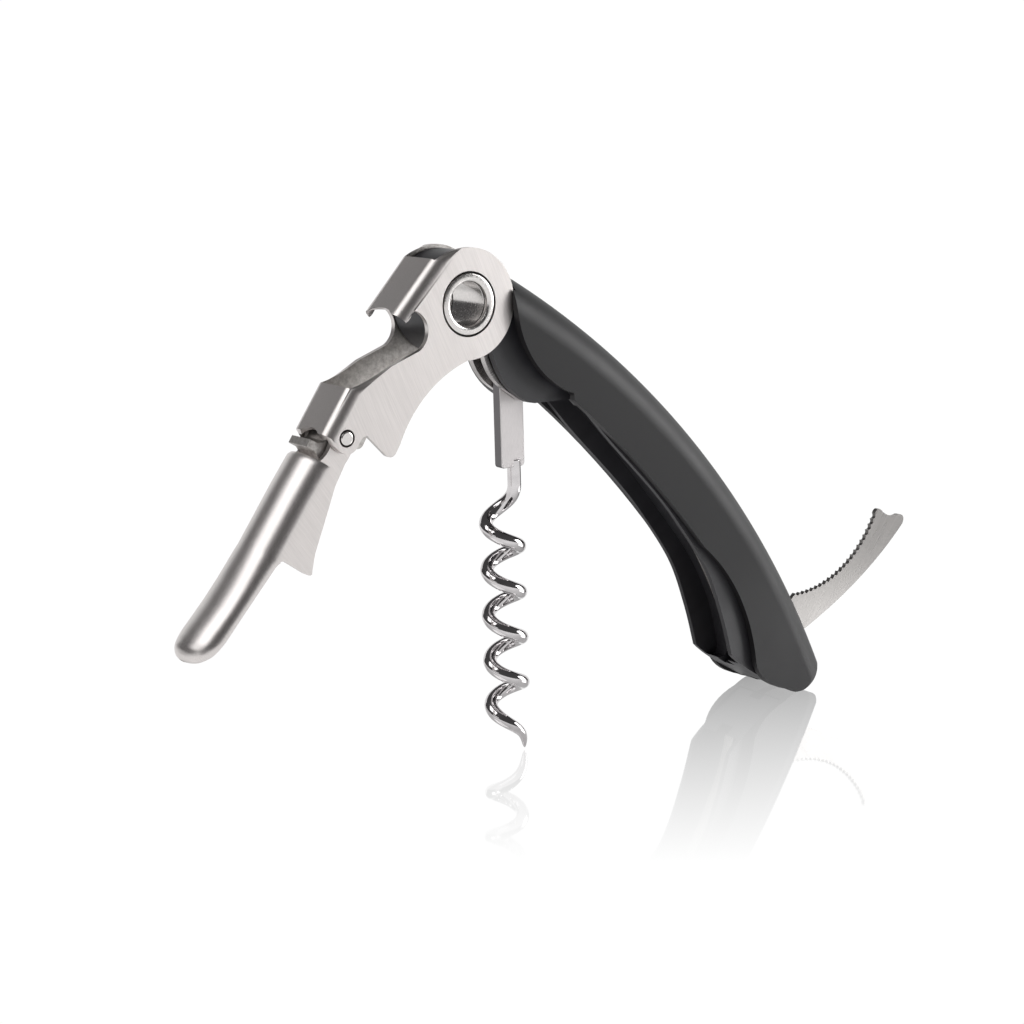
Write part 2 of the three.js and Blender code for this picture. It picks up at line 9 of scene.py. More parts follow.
import bmesh
import bpy
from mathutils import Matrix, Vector


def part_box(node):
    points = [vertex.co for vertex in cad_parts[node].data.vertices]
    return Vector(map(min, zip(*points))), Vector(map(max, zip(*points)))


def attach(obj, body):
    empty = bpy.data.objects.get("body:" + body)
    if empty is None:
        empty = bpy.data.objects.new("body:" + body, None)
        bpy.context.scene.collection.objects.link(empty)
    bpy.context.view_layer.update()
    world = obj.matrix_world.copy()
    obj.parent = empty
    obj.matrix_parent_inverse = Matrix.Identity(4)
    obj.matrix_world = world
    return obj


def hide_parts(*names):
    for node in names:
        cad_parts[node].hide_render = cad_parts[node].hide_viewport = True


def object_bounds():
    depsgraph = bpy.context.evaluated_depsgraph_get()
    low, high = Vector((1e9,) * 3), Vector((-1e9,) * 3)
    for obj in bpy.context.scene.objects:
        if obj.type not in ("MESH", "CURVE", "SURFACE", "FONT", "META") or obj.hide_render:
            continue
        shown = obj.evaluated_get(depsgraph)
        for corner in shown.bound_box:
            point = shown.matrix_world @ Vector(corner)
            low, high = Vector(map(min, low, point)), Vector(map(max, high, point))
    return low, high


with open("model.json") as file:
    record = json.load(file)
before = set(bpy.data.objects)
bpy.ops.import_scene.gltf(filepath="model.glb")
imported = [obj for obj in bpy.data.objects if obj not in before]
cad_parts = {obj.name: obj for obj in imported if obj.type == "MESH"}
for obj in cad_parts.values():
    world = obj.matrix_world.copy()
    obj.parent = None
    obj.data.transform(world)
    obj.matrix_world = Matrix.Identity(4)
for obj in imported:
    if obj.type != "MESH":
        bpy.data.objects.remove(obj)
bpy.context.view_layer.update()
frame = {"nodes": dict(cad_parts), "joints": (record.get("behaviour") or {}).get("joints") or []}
MM = 0.001


# ---------------------------------------------------------------- places taken from the frame
def joint_place(name):
    for joint in frame["joints"]:
        if joint["name"] == name:
            return Vector(joint["pos_m"])
    raise ValueError(name)


HUB = joint_place("lever_fold")


def at(x, y, z):
    """A point given in millimetres from the main pivot."""
    return HUB + Vector((x, y, z)) * MM


def plan(place):
    """The X and Z of a place in the frame, in millimetres from the main pivot."""
    return (place.x - HUB.x) / MM, (place.z - HUB.z) / MM


def reach(node):
    """How far a node reaches to either side of the middle plane."""
    low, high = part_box(node)
    return max(-low.y, high.y) / MM


PIVOT = (0.0, 0.0)
WORM_PIN = plan(joint_place("worm_fold"))
LEVER_PIN = plan(joint_place("lever_joint"))
KNIFE_PIN = plan(joint_place("knife_fold"))
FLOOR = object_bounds()[0].z


# ---------------------------------------------------------------- camera
VIEW_AZIMUTH = math.radians(-37.575)
VIEW_ELEVATION = math.radians(11.75)
FOCAL_LENGTH = 70.31
SENSOR = 36.0
HUB_DEPTH = 338.98                  # from the lens to the pivot's near end, along the view
HUB_ASIDE = -7.356                  # of the pivot's near end from the middle of the view
HUB_ABOVE = 35.238


def make_camera():
    data = bpy.data.cameras.new("camera")
    data.sensor_width = SENSOR
    data.lens = FOCAL_LENGTH
    data.clip_start = 0.01
    data.clip_end = 20.0
    camera = bpy.data.objects.new("camera", data)
    bpy.context.scene.collection.objects.link(camera)
    back = Vector((
        math.sin(VIEW_AZIMUTH) * math.cos(VIEW_ELEVATION),
        -math.cos(VIEW_AZIMUTH) * math.cos(VIEW_ELEVATION),
        math.sin(VIEW_ELEVATION),
    ))
    camera.rotation_mode = "QUATERNION"
    camera.rotation_quaternion = (-back).to_track_quat("-Z", "Y")
    right = camera.rotation_quaternion @ Vector((1, 0, 0))
    up = camera.rotation_quaternion @ Vector((0, 1, 0))
    near_end = at(0, -5.3, 0)
    camera.location = near_end + (back * HUB_DEPTH - right * HUB_ASIDE - up * HUB_ABOVE) * MM
    bpy.context.scene.camera = camera


make_camera()


# ---------------------------------------------------------------- outlines, in the XZ plane
def polar(centre, radius, degrees):
    angle = math.radians(degrees)
    return centre[0] + radius * math.cos(angle), centre[1] + radius * math.sin(angle)


def arc(centre, radius, start, end, step=3.0):
    count = max(2, math.ceil(abs(end - start) / step))
    return [polar(centre, radius, start + (end - start) * i / count) for i in range(count + 1)]


def bend(start, control, end, count=8):
    points = []
    for i in range(count + 1):
        t = i / count
        points.append(tuple(
            (1 - t) ** 2 * a + 2 * t * (1 - t) * b + t * t * c
            for a, b, c in zip(start, control, end)
        ))
    return points


def outline(*steps):
    """Joins points and lists of points, and drops a point that repeats the one before it."""
    points = []
    for step in steps:
        for point in step if isinstance(step, list) else [step]:
            if not points or math.dist(points[-1], point) > 0.01:
                points.append(point)
    if math.dist(points[0], points[-1]) < 0.01:
        points.pop()
    return points


# ---------------------------------------------------------------- solids
def make_object(name, bm):
    bmesh.ops.recalc_face_normals(bm, faces=bm.faces)
    mesh = bpy.data.meshes.new(name)
    bm.to_mesh(mesh)
    bm.free()
    piece = bpy.data.objects.new(name, mesh)
    bpy.context.scene.collection.objects.link(piece)
    return piece


def loft(name, rings, closed=False):
    """A solid through rings of points in metres; its ends are capped unless it closes on itself."""
    bm = bmesh.new()
    loops = [[bm.verts.new(point) for point in ring] for ring in rings]
    pairs = list(zip(loops, loops[1:]))
    if closed:
        pairs.append((loops[-1], loops[0]))
    else:
        bm.faces.new(loops[0])
        bm.faces.new(loops[-1][::-1])
    for low, high in pairs:
        for i in range(len(low)):
            bm.faces.new((low[i], high[i], high[i - 1], low[i - 1]))
    return make_object(name, bm)


def crowned_rings(half, height, section, edge, crown_steps, edge_steps, bend_back=False):
    """Rings of a solid whose back is rounded across by height. section(fall) gives its outline where
    the back is lower by fall. With bend_back, the back's edges have a bend of radius edge."""
    rings = []
    for i in range(crown_steps + 1):
        angle = math.pi / 2 * i / max(1, crown_steps)
        rings.append(((half - edge) * math.sin(angle), height * (1 - math.cos(angle))))
    if crown_steps == 0:
        rings = [(half - edge, height)]
    for i in range(1, edge_steps + 1):
        angle = math.pi / 2 * i / edge_steps
        drop = edge * (1 - math.cos(angle)) if bend_back else 0.0
        rings.append((half - edge + edge * math.sin(angle), height + drop))
    mirrored = [(-y, fall) for y, fall in reversed(rings) if y > 0.001]
    return [[at(x, y, z) for x, z in section(fall)] for y, fall in mirrored + rings]


def plate(name, points, low, high):
    return loft(name, [[at(x, y, z) for x, z in points] for y in (low, high)])


def turned(name, pin, profile, segments=64):
    """A solid turned about a pin's axis; the profile is a closed ring of (radius, y)."""
    rings = []
    for i in range(segments):
        angle = 360 * i / segments
        rings.append([at(x, y, z) for (x, z), y in ((polar(pin, r, angle), y) for r, y in profile)])
    return loft(name, rings, closed=True)


def bar(name, pin, radius, low, high, segments=64):
    points = [polar(pin, radius, 360 * i / segments) for i in range(segments)]
    return plate(name, points, low, high)


def settle(piece):
    """Applies the modifiers of a piece."""
    graph = bpy.context.evaluated_depsgraph_get()
    mesh = bpy.data.meshes.new_from_object(piece.evaluated_get(graph))
    piece.modifiers.clear()
    old = piece.data
    piece.data = mesh
    bpy.data.meshes.remove(old)
    return piece


def combine(piece, other, operation="DIFFERENCE"):
    cut = piece.modifiers.new("cut", "BOOLEAN")
    cut.operation = operation
    cut.solver = "EXACT"
    cut.object = other
    settle(piece)
    bpy.data.objects.remove(other)
    return piece


def join(piece, other):
    return combine(piece, other, "UNION")


def ease(piece, radius, segments=3, angle=40):
    """Rounds the sharp edges, keeps flat faces flat and shades the rest smooth."""
    piece.data.shade_smooth()
    piece.data.set_sharp_from_angle(angle=math.radians(angle))
    edge = piece.modifiers.new("ease", "BEVEL")
    edge.width = radius * MM
    edge.segments = segments
    edge.limit_method = "ANGLE"
    edge.angle_limit = math.radians(angle)
    edge.use_clamp_overlap = True
    even = piece.modifiers.new("even", "WEIGHTED_NORMAL")
    even.keep_sharp = True
    even.weight = 80
    return settle(piece)


def clean(piece):
    """Joins doubled vertices and opens flat faces up, so that an edge can be rounded cleanly."""
    bm = bmesh.new()
    bm.from_mesh(piece.data)
    bmesh.ops.remove_doubles(bm, verts=bm.verts, dist=0.005 * MM)
    bmesh.ops.dissolve_limit(bm, angle_limit=math.radians(0.6), verts=bm.verts, edges=bm.edges)
    bm.to_mesh(piece.data)
    bm.free()
    return piece


def carried(node, radius, segments=2, angle=25):
    """A copy of a CAD node's shape with its edges rounded."""
    piece = bpy.data.objects.new(node + "_eased", frame["nodes"][node].data.copy())
    piece.data.materials.clear()
    bpy.context.scene.collection.objects.link(piece)
    return ease(clean(piece), radius, segments, angle)


# ---------------------------------------------------------------- materials
def start_material(name, color, roughness, metallic):
    """A material with its shader, and the object's own coordinates as a texture place."""
    material = bpy.data.materials.new(name)
    material.use_nodes = True
    tree = material.node_tree
    shader = tree.nodes["Principled BSDF"]
    shader.inputs["Base Color"].default_value = (*color, 1)
    shader.inputs["Roughness"].default_value = roughness
    shader.inputs["Metallic"].default_value = metallic
    place = tree.nodes.new("ShaderNodeTexCoord").outputs["Object"]
    return material, tree, shader, place


def stretched(tree, place, scale, tilt=0.0):
    """The texture place turned by tilt degrees about Y and scaled along each axis."""
    turn = tree.nodes.new("ShaderNodeMapping")
    turn.inputs["Rotation"].default_value = (0, math.radians(tilt), 0)
    tree.links.new(place, turn.inputs["Vector"])
    size = tree.nodes.new("ShaderNodeMapping")
    size.inputs["Scale"].default_value = scale
    tree.links.new(turn.outputs["Vector"], size.inputs["Vector"])
    return size.outputs["Vector"]


def noise(tree, place, scale, detail=4.0, roughness=0.6):
    node = tree.nodes.new("ShaderNodeTexNoise")
    node.inputs["Scale"].default_value = scale
    node.inputs["Detail"].default_value = detail
    node.inputs["Roughness"].default_value = roughness
    tree.links.new(place, node.inputs["Vector"])
    return node.outputs["Fac"]


def spread(tree, value, low, high, start=0.3, end=0.7):
    """Maps a noise value on to the range from low to high."""
    node = tree.nodes.new("ShaderNodeMapRange")
    for socket, number in (("From Min", start), ("From Max", end), ("To Min", low), ("To Max", high)):
        node.inputs[socket].default_value = number
    tree.links.new(value, node.inputs["Value"])
    return node.outputs["Result"]


def tinted(tree, shader, value, dark, light):
    """Base colour between two colours, by a value from 0 to 1."""
    ramp = tree.nodes.new("ShaderNodeValToRGB")
    ramp.color_ramp.elements[0].color = (*dark, 1)
    ramp.color_ramp.elements[1].color = (*light, 1)
    tree.links.new(value, ramp.inputs["Fac"])
    tree.links.new(ramp.outputs["Color"], shader.inputs["Base Color"])


def bumped(tree, shader, layers):
    """Bump from several (value, strength, depth in millimetres) layers."""
    before = None
    for value, strength, depth in layers:
        bump = tree.nodes.new("ShaderNodeBump")
        bump.inputs["Strength"].default_value = strength
        bump.inputs["Distance"].default_value = depth * MM
        tree.links.new(value, bump.inputs["Height"])
        if before:
            tree.links.new(before, bump.inputs["Normal"])
        before = bump.outputs["Normal"]
    tree.links.new(before, shader.inputs["Normal"])


def brushed_steel(name, tilt, light, roughness, line=7000, run=150, depth=0.012):
    """Steel brushed along a direction, tilt degrees about Y from the X axis."""
    material, tree, shader, place = start_material(name, light, roughness, 1)
    grain = noise(tree, stretched(tree, place, (run, line, line), tilt), 1.0)
    patches = noise(tree, place, 90.0, 3.0)
    dark = tuple(channel * 0.86 for channel in light)
    tinted(tree, shader, spread(tree, grain, 0, 1), dark, light)
    worn = tree.nodes.new("ShaderNodeMath")
    worn.operation = "ADD"
    tree.links.new(spread(tree, grain, roughness - 0.07, roughness + 0.07), worn.inputs[0])
    tree.links.new(spread(tree, patches, -0.012, 0.012), worn.inputs[1])
    tree.links.new(worn.outputs["Value"], shader.inputs["Roughness"])
    bumped(tree, shader, [(grain, 0.35, depth)])
    return material


def soft_touch():
    """Black rubbery paint with a very fine grain."""
    material, tree, shader, place = start_material("soft_touch_black", (0.014, 0.0135, 0.015), 0.5, 0)
    shader.inputs["Specular IOR Level"].default_value = 0.34
    grain = noise(tree, place, 9000, 2.0)
    rubbed = noise(tree, place, 60, 4.0)
    tinted(tree, shader, spread(tree, rubbed, 0, 1), (0.0075, 0.007, 0.008), (0.0115, 0.0108, 0.012))
    tree.links.new(spread(tree, rubbed, 0.44, 0.52), shader.inputs["Roughness"])
    bumped(tree, shader, [(grain, 0.25, 0.01), (rubbed, 0.1, 0.02)])
    return material


def moulded_plastic():
    """Dark grey glass-filled plastic with a satin moulded skin."""
    material, tree, shader, place = start_material("moulded_grey", (0.05, 0.048, 0.053), 0.45, 0)
    skin = noise(tree, place, 5200, 3.0)
    flow = noise(tree, stretched(tree, place, (40, 160, 160), 35), 1.0, 3.0)
    tinted(tree, shader, spread(tree, flow, 0, 1), (0.017, 0.0162, 0.019), (0.026, 0.025, 0.029))
    tree.links.new(spread(tree, flow, 0.38, 0.5), shader.inputs["Roughness"])
    bumped(tree, shader, [(skin, 0.3, 0.012)])
    return material


def raw_steel():
    """Blanked steel with a mottled, slightly torn surface."""
    material, tree, shader, place = start_material("raw_steel", (0.5, 0.48, 0.46), 0.42, 1)
    mottle = noise(tree, place, 900, 6.0, 0.7)
    pits = noise(tree, place, 4200, 3.0)
    tinted(tree, shader, spread(tree, mottle, 0, 1), (0.3, 0.28, 0.265), (0.62, 0.6, 0.58))
    tree.links.new(spread(tree, mottle, 0.55, 0.3), shader.inputs["Roughness"])
    bumped(tree, shader, [(mottle, 0.5, 0.05), (pits, 0.3, 0.02)])
    return material


def chrome_wire():
    """Polished wire with faint drawing lines."""
    material, tree, shader, place = start_material("polished_wire", (0.6, 0.58, 0.585), 0.08, 1)
    smear = noise(tree, place, 420, 4.0)
    lines = noise(tree, stretched(tree, place, (2500, 2500, 300)), 1.0, 3.0)
    tinted(tree, shader, spread(tree, smear, 0, 1), (0.52, 0.5, 0.505), (0.66, 0.64, 0.645))
    tree.links.new(spread(tree, smear, 0.06, 0.13), shader.inputs["Roughness"])
    bumped(tree, shader, [(lines, 0.12, 0.01)])
    return material


MATERIALS = {
    "soft_touch": soft_touch(),
    "frame_plastic": moulded_plastic(),
    "upper_steel": brushed_steel("brushed_upper", 115, (0.7, 0.665, 0.65), 0.38, depth=0.005),
    "lower_steel": brushed_steel("brushed_lower", -53, (0.71, 0.675, 0.66), 0.35, depth=0.0012),
    "pivot_steel": brushed_steel("turned_pivot", 0, (0.72, 0.695, 0.68), 0.22, line=2500, run=2500),
    "liner_steel": brushed_steel("liner_plate", 30, (0.6, 0.575, 0.565), 0.3, run=300),
    # The blade's steel colour is far darker than the other steels: painted shade.
    "blade_steel": brushed_steel("ground_blade_painted_shade", 50, (0.27, 0.26, 0.253), 0.33, line=5200),
    "worm_steel": chrome_wire(),
    "shank_steel": brushed_steel("shank_plate", 90, (0.6, 0.575, 0.575), 0.4, run=900),
    # A darker copy of the shank's steel for its edge faces: painted shade.
    "painted_shade_edge_steel": brushed_steel("shank_edge_painted_shade", 90, (0.17, 0.163, 0.168), 0.38, run=900),
    "raw_steel": raw_steel(),
}


def second_look(piece, look, chosen):
    """Gives the faces picked by their normal and middle another material."""
    piece.data.materials.append(MATERIALS[look])
    slot = len(piece.data.materials) - 1
    for face in piece.data.polygons:
        if chosen(face.normal, (face.center - HUB) / MM):
            face.material_index = slot


def finish_piece(piece, body, nodes, look):
    """Gives a piece its look, hides the CAD nodes it stands for and hangs it on the body it rides on."""
    piece.data.materials.clear()
    piece.data.materials.append(MATERIALS[look])
    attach(piece, body)
    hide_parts(*nodes)


# ---------------------------------------------------------------- sizes of the visible pieces
SHEET = 1.0
LEVER_HALF = reach("lever_upper")
HUB_RADIUS = 9.6
SPINE_STAND = 0.66                  # how far the upper lever's spine passes outside the hub
SPINE_ANGLE = 48.1
SPINE_BEND = 2.1                    # outer radius of the bend between spine and cheek
COLLAR_RADIUS = 5.3
BORE_RADIUS = 3.8
GAP = 0.3
RIVET_RADIUS = 1.2
RIVET_HOLE = 1.5
PIN_HOLE = 1.8                      # for the worm's and the knife's pins


def on_spine(distance, depth=0.0):
    """A point so far up the upper lever's spine and so deep below it."""
    foot = polar(PIVOT, HUB_RADIUS + SPINE_STAND - depth, SPINE_ANGLE + 90)
    step = polar(PIVOT, distance, SPINE_ANGLE)
    return foot[0] + step[0], foot[1] + step[1]


def beyond(start, end, distance, depth):
    """A point past the start of a line, and so deep on its right-hand side."""
    length = math.dist(start, end)
    along = ((end[0] - start[0]) / length, (end[1] - start[1]) / length)
    return (start[0] - along[0] * distance + along[1] * depth,
            start[1] - along[1] * distance - along[0] * depth)


# ---------------------------------------------------------------- upper lever
SPINE_WAIST = (-24.0, -12.3)
SPINE_FOOT = (-28.9, -19.6)
POCKET = on_spine(-11.12, 3.85)
POCKET_RADIUS = 3.7
MOUTH_STEPS = 33
BITE = (6.73, -31.51)
BITE_RADIUS = 23.02


def beside_foot(point, fall, lift=-0.557):
    """A point of the foot's spine, moved in under the bend by fall."""
    return point[0] + 0.83 * fall, point[1] + lift * fall


def upper_lever_outline(fall):
    """The lever's outline in the XZ plane, where the faces of its two spines are lower by fall."""
    first = 100 - 10 * fall
    mouth = [
        polar(POCKET, POCKET_RADIUS, first + (-60 - first) * i / MOUTH_STEPS)
        for i in range(MOUTH_STEPS + 1)
    ]
    top, lip = on_spine(1.4, fall), on_spine(-10.4, fall)
    waist, foot = beside_foot(SPINE_WAIST, fall), beside_foot(SPINE_FOOT, fall)
    toe = beside_foot((-28.2, -20.9), fall, -0.3)
    return outline(
        arc(PIVOT, HUB_RADIUS - 0.03, -92, 100, 2.5),
        bend(polar(PIVOT, HUB_RADIUS - 0.03, 100), on_spine(3.6, 0.8 + fall * 0.6), top)[1:],
        lip,
        bend(lip, on_spine(-9.7, 0.4 + fall), mouth[0], 4)[1:],
        mouth,
        bend(mouth[-1], (-12.4, -8.0), (-15.9, -9.3)),
        bend((-15.9, -9.3), (-20.6, -11.9), waist),
        foot,
        toe,
        bend(toe, (-27.2 + fall * 0.2, -22.7), (-25.0, -23.2)),
        bend((-25.0, -23.2), (-23.4, -23.2), (-22.6, -21.6)),
        bend((-22.6, -21.6), (-21.9, -20.3), (-21.0, -20.5)),
        (-17.3, -24.2),
        bend((-17.3, -24.2), (-16.3, -25.0), (-15.4, -24.1)),
        arc(BITE, BITE_RADIUS, 157, 109, 2),
    )


def past_foot(distance, depth):
    return beyond(SPINE_FOOT, SPINE_WAIST, distance, depth)


def scoop(name, place, middle, along, across):
    """An oval cutter through a spine, where place(distance, depth) is a point of that spine."""
    rings = []
    for depth in (4, -4):
        ring = []
        for i in range(48):
            angle = 2 * math.pi * i / 48
            x, z = place(middle + along * math.cos(angle), depth)
            ring.append(at(x, across * math.sin(angle), z))
        rings.append(ring)
    return loft(name, rings)


def make_upper_lever():
    rings = crowned_rings(LEVER_HALF, 0.0, upper_lever_outline, SPINE_BEND, 0, 8, bend_back=True)
    lever = loft("lever_upper_steel", rings)
    inner = LEVER_HALF - SHEET
    hollow = outline(
        (30, -45), (30, 25), on_spine(1.4, -12), on_spine(1.4, SHEET), on_spine(-10.5, SHEET),
        on_spine(-10.5, -12), beyond(SPINE_WAIST, SPINE_FOOT, 0, 12),
        beyond(SPINE_WAIST, SPINE_FOOT, 0, -SHEET),
        beyond(SPINE_FOOT, SPINE_WAIST, 0.8, SHEET),
        beyond(SPINE_FOOT, SPINE_WAIST, 0.8, -12), (-45, -45),
    )
    combine(lever, plate("hollow", hollow, -inner, inner))
    combine(lever, scoop("bite", on_spine, -12.1, 2.7, 4.4))
    combine(lever, scoop("notch", past_foot, 1.1, 1.9, 3.3))
    for side in (-1, 1):
        low, high = sorted((side * (inner - 1), side * (LEVER_HALF + 1)))
        combine(lever, bar("hole", PIVOT, COLLAR_RADIUS + GAP, low, high, 96))
        combine(lever, bar("hole", LEVER_PIN, RIVET_HOLE, low, high, 40))
    ease(lever, 0.2, 4)
    finish_piece(lever, "upper_lever", ["lever_upper"], "upper_steel")
    second_look(lever, "raw_steel", lambda normal, middle: abs(middle.y) < inner + 0.1 and (
        abs(normal.y) > 0.9 or normal.x * 0.7 - normal.z * 0.7 > 0.5))


# ---------------------------------------------------------------- lower lever
LOWER_LENGTH = 37.2
LOWER_ANGLE = -127.0
LOWER_TOP = (-31.6, -22.7)
EAR_HALF = LEVER_HALF - SHEET - GAP


def down(distance, aside):
    """A point so far down the lower lever's spine and so far inside it."""
    along = polar(LOWER_TOP, distance, LOWER_ANGLE)
    across = polar((0, 0), aside, LOWER_ANGLE + 90)
    return along[0] + across[0], along[1] + across[1]


def blend_value(points, distance):
    """The value at a distance, in a straight line between (distance, value) points."""
    for (a, low), (b, high) in zip(points, points[1:]):
        if distance <= b:
            share = max(0.0, (distance - a) / (b - a))
            return low + (high - low) * share
    return points[-1][1]


LOWER_END = LOWER_LENGTH + 1.5
TIP_ROUND = 5.5                     # length of the round end, seen from the front


def lower_lever_stations():
    """Distances down the spine, close together at the steps of the cheek's edge and at the tip."""
    tip = LOWER_END - TIP_ROUND
    steps = [-0.2 + 16.3 * i / 26 for i in range(27)]
    steps += [16.25, 16.4, 16.55, 16.7, 16.9, 17.2, 17.6, 18.0]
    steps += [18.5 + (tip - 18.5) * i / 24 for i in range(25)]
    steps += [tip + TIP_ROUND * math.sin(math.radians(i * 4)) for i in range(1, 23)]
    return steps


CHEEK_EDGE = [
    (-0.2, 5.2), (0.9, 6.3), (7, 8.1), (13, 9.8), (15.4, 10.9), (16.1, 11.3), (16.5, 11.1),
    (16.7, 10.0), (16.75, 5.6), (17.2, 4.9), (18.5, 4.55), (27, 3.9), (33, 3.5), (36, 3.0),
    (38, 2.3), (38.8, 1.7),
]
SPINE_FALL = [
    (-0.2, 0.5), (0.3, 0.15), (6, 0.25), (12, 0.5), (18, 0.75), (24, 0.85), (28, 0.7), (31, 0.4),
    (33, 0.15), (35, 0.02), (36.5, 0.02), (37.2, 0.15), (38, 0.5), (38.7, 1.05),
]


def make_lower_lever():
    bm = bmesh.new()
    columns = 28
    cheek = 6
    rows = []
    for distance in lower_lever_stations():
        edge = blend_value(CHEEK_EDGE, distance)
        top = blend_value(SPINE_FALL, distance)
        roundness = min(3.6, (edge - top) * 0.86)
        round_share = max(0.0, (distance - LOWER_END + TIP_ROUND) / TIP_ROUND)
        width = LEVER_HALF * max(0.02, 1 - round_share ** 2.5) ** 0.42
        profile = []
        for i in range(cheek):
            profile.append((-width, edge + (top + roundness - edge) * i / cheek))
        for i in range(columns + 1):
            angle = math.pi * i / columns
            profile.append((-width * math.cos(angle), top + roundness * (1 - math.sin(angle))))
        for i in range(1, cheek + 1):
            profile.append((width, top + roundness + (edge - top - roundness) * i / cheek))
        row = []
        for y, depth in profile:
            x, z = down(distance, depth)
            row.append(bm.verts.new(at(x, y, z)))
        rows.append(row)
    for first, second in zip(rows, rows[1:]):
        for i in range(1, len(first)):
            bm.faces.new((first[i - 1], first[i], second[i], second[i - 1]))
    lever = make_object("lever_lower_steel", bm)
    wall = lever.modifiers.new("wall", "SOLIDIFY")
    wall.thickness = SHEET * MM
    wall.offset = -1
    wall.use_even_offset = True
    settle(lever)
    ears = outline(
        bend((-25.0, -18.2), (-22.8, -18.4), (-22.8, -20.6)),
        bend((-22.8, -20.6), (-22.8, -23.0), (-24.6, -24.9)),
        (-27.4, -29.8), (-33.0, -30.6), (-31.4, -25.2), (-31.0, -24.6),
        bend((-31.0, -24.6), (-27.6, -23.6), (-27.1, -20.6)),
        bend((-27.1, -20.6), (-26.8, -18.6), (-25.0, -18.2)),
    )
    for side in (-1, 1):
        low, high = sorted((side * (EAR_HALF - SHEET), side * EAR_HALF))
        join(lever, plate("ear", ears, low, high))
    combine(lever, bar("hole", LEVER_PIN, RIVET_HOLE, -EAR_HALF - 0.2, EAR_HALF + 0.2, 40))
    ease(lever, 0.12, 2, 50)
    finish_piece(lever, "lower_lever", ["lever_lower"], "lower_steel")


# ---------------------------------------------------------------- pivot
def make_pivot():
    half = reach("pivot_collar_near")
    for name, side in (("pivot_collar_near", -1), ("pivot_collar_far", 1)):
        inside = LEVER_HALF - SHEET + 0.25
        profile = [
            (BORE_RADIUS, side * inside), (BORE_RADIUS, side * (half - 0.55)),
            (BORE_RADIUS + 0.1, side * (half - 0.2)), (BORE_RADIUS + 0.35, side * (half - 0.02)),
            (BORE_RADIUS + 0.6, side * half), (COLLAR_RADIUS - 0.35, side * half),
            (COLLAR_RADIUS - 0.1, side * (half - 0.07)), (COLLAR_RADIUS, side * (half - 0.3)),
            (COLLAR_RADIUS, side * inside),
        ]
        collar = turned(name + "_turned", PIVOT, profile, 96)
        ease(collar, 0.05, 2, 35)
        finish_piece(collar, "handle", [name], "pivot_steel")
    tube_half = reach("pivot_tube")
    outer = BORE_RADIUS + 0.6
    profile = [(BORE_RADIUS, -tube_half), (BORE_RADIUS, tube_half), (outer, tube_half), (outer, -tube_half)]
    tube = turned("pivot_tube_turned", PIVOT, profile, 96)
    ease(tube, 0.08, 2)
    finish_piece(tube, "handle", ["pivot_tube"], "pivot_steel")
    end = reach("lever_pin")
    pin = bar("lever_pin_domed", LEVER_PIN, RIVET_RADIUS, -end, end, 48)
    ease(pin, 0.25, 4)
    finish_piece(pin, "upper_lever", ["lever_pin"], "pivot_steel")


# ---------------------------------------------------------------- worm
WIRE_RADIUS = 1.25
COIL_RADIUS = 2.95                  # to the middle of the wire
PITCH = 8.5
TURNS = 4
LEAD_IN = math.radians(142.4)
LEAD_OUT = math.radians(175)
NECK_LENGTH = 4.6
SHANK_LENGTH = 17.5
SHANK_WIDTH = 5.2
SHANK_HALF = 1.0
WIRE_OFFSET = 0.9
WORM_LEAN = math.radians(1.9)


def worm_point(x, y, z):
    """A point drawn on an upright worm, turned to the worm's lean, in metres."""
    lean, rise = math.cos(WORM_LEAN), math.sin(WORM_LEAN)
    return at(WORM_PIN[0] + x * lean - z * rise, y, WORM_PIN[1] + x * rise + z * lean)


def make_worm():
    rate = 2 * math.pi / PITCH
    lead_in, lead_out, coil = 2 * LEAD_IN / rate, 2 * LEAD_OUT / rate, TURNS * PITCH
    length = NECK_LENGTH + lead_in + coil + lead_out

    def turn_at(depth):
        rest = depth - NECK_LENGTH
        if rest <= 0:
            return 0.0
        if rest <= lead_in:
            return LEAD_IN * (rest / lead_in) ** 2
        rest -= lead_in
        if rest <= coil:
            return LEAD_IN + rate * rest
        rest = 1 - (rest - coil) / lead_out
        return LEAD_IN + rate * coil + LEAD_OUT * (1 - rest * rest)

    def middle(depth):
        turn = turn_at(depth)
        return Vector((COIL_RADIUS * (math.cos(turn) - 1) + WIRE_OFFSET, COIL_RADIUS * math.sin(turn),
                       WIRE_RADIUS - SHANK_LENGTH - depth))

    steps, sides, point_length = 420, 24, 7.0
    rings = []
    for i in range(steps + 1):
        depth = length * i / steps
        here = middle(depth)
        along = (middle(depth + 0.01) - middle(depth - 0.01)).normalized()
        across = along.cross(Vector((0, 1, 0))).normalized()
        third = along.cross(across)
        left = (length - depth) / point_length
        radius = WIRE_RADIUS * min(1.0, max(0.06, math.sqrt(max(left, 0.0)) if left < 1 else 1.0))
        rings.append([
            worm_point(*(here + (across * math.cos(a) + third * math.sin(a)) * radius))
            for a in (2 * math.pi * k / sides for k in range(sides))
        ])
    wire = loft("worm_wire", rings)
    half = SHANK_WIDTH / 2
    shape = outline(
        arc((0, 0), half, 0, 180, 5),
        arc((-half + 0.7, -SHANK_LENGTH + 0.7), 0.7, 180, 270, 15),
        arc((half - 0.7, -SHANK_LENGTH + 0.7), 0.7, 270, 360, 15),
    )
    shank = loft("worm_shank", [[worm_point(x, y, z) for x, z in shape] for y in (-SHANK_HALF, SHANK_HALF)])
    combine(shank, bar("hole", WORM_PIN, PIN_HOLE, -3, 3, 48))
    ease(shank, 0.16, 3)
    wire.data.shade_smooth()
    finish_piece(shank, "worm", ["worm"], "shank_steel")
    # The shank's edge faces take the dark copy of its steel, which is painted shade.
    second_look(shank, "painted_shade_edge_steel", lambda normal, middle: abs(normal.y) < 0.5)
    wire.data.materials.clear()
    wire.data.materials.append(MATERIALS["worm_steel"])
    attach(wire, "worm")


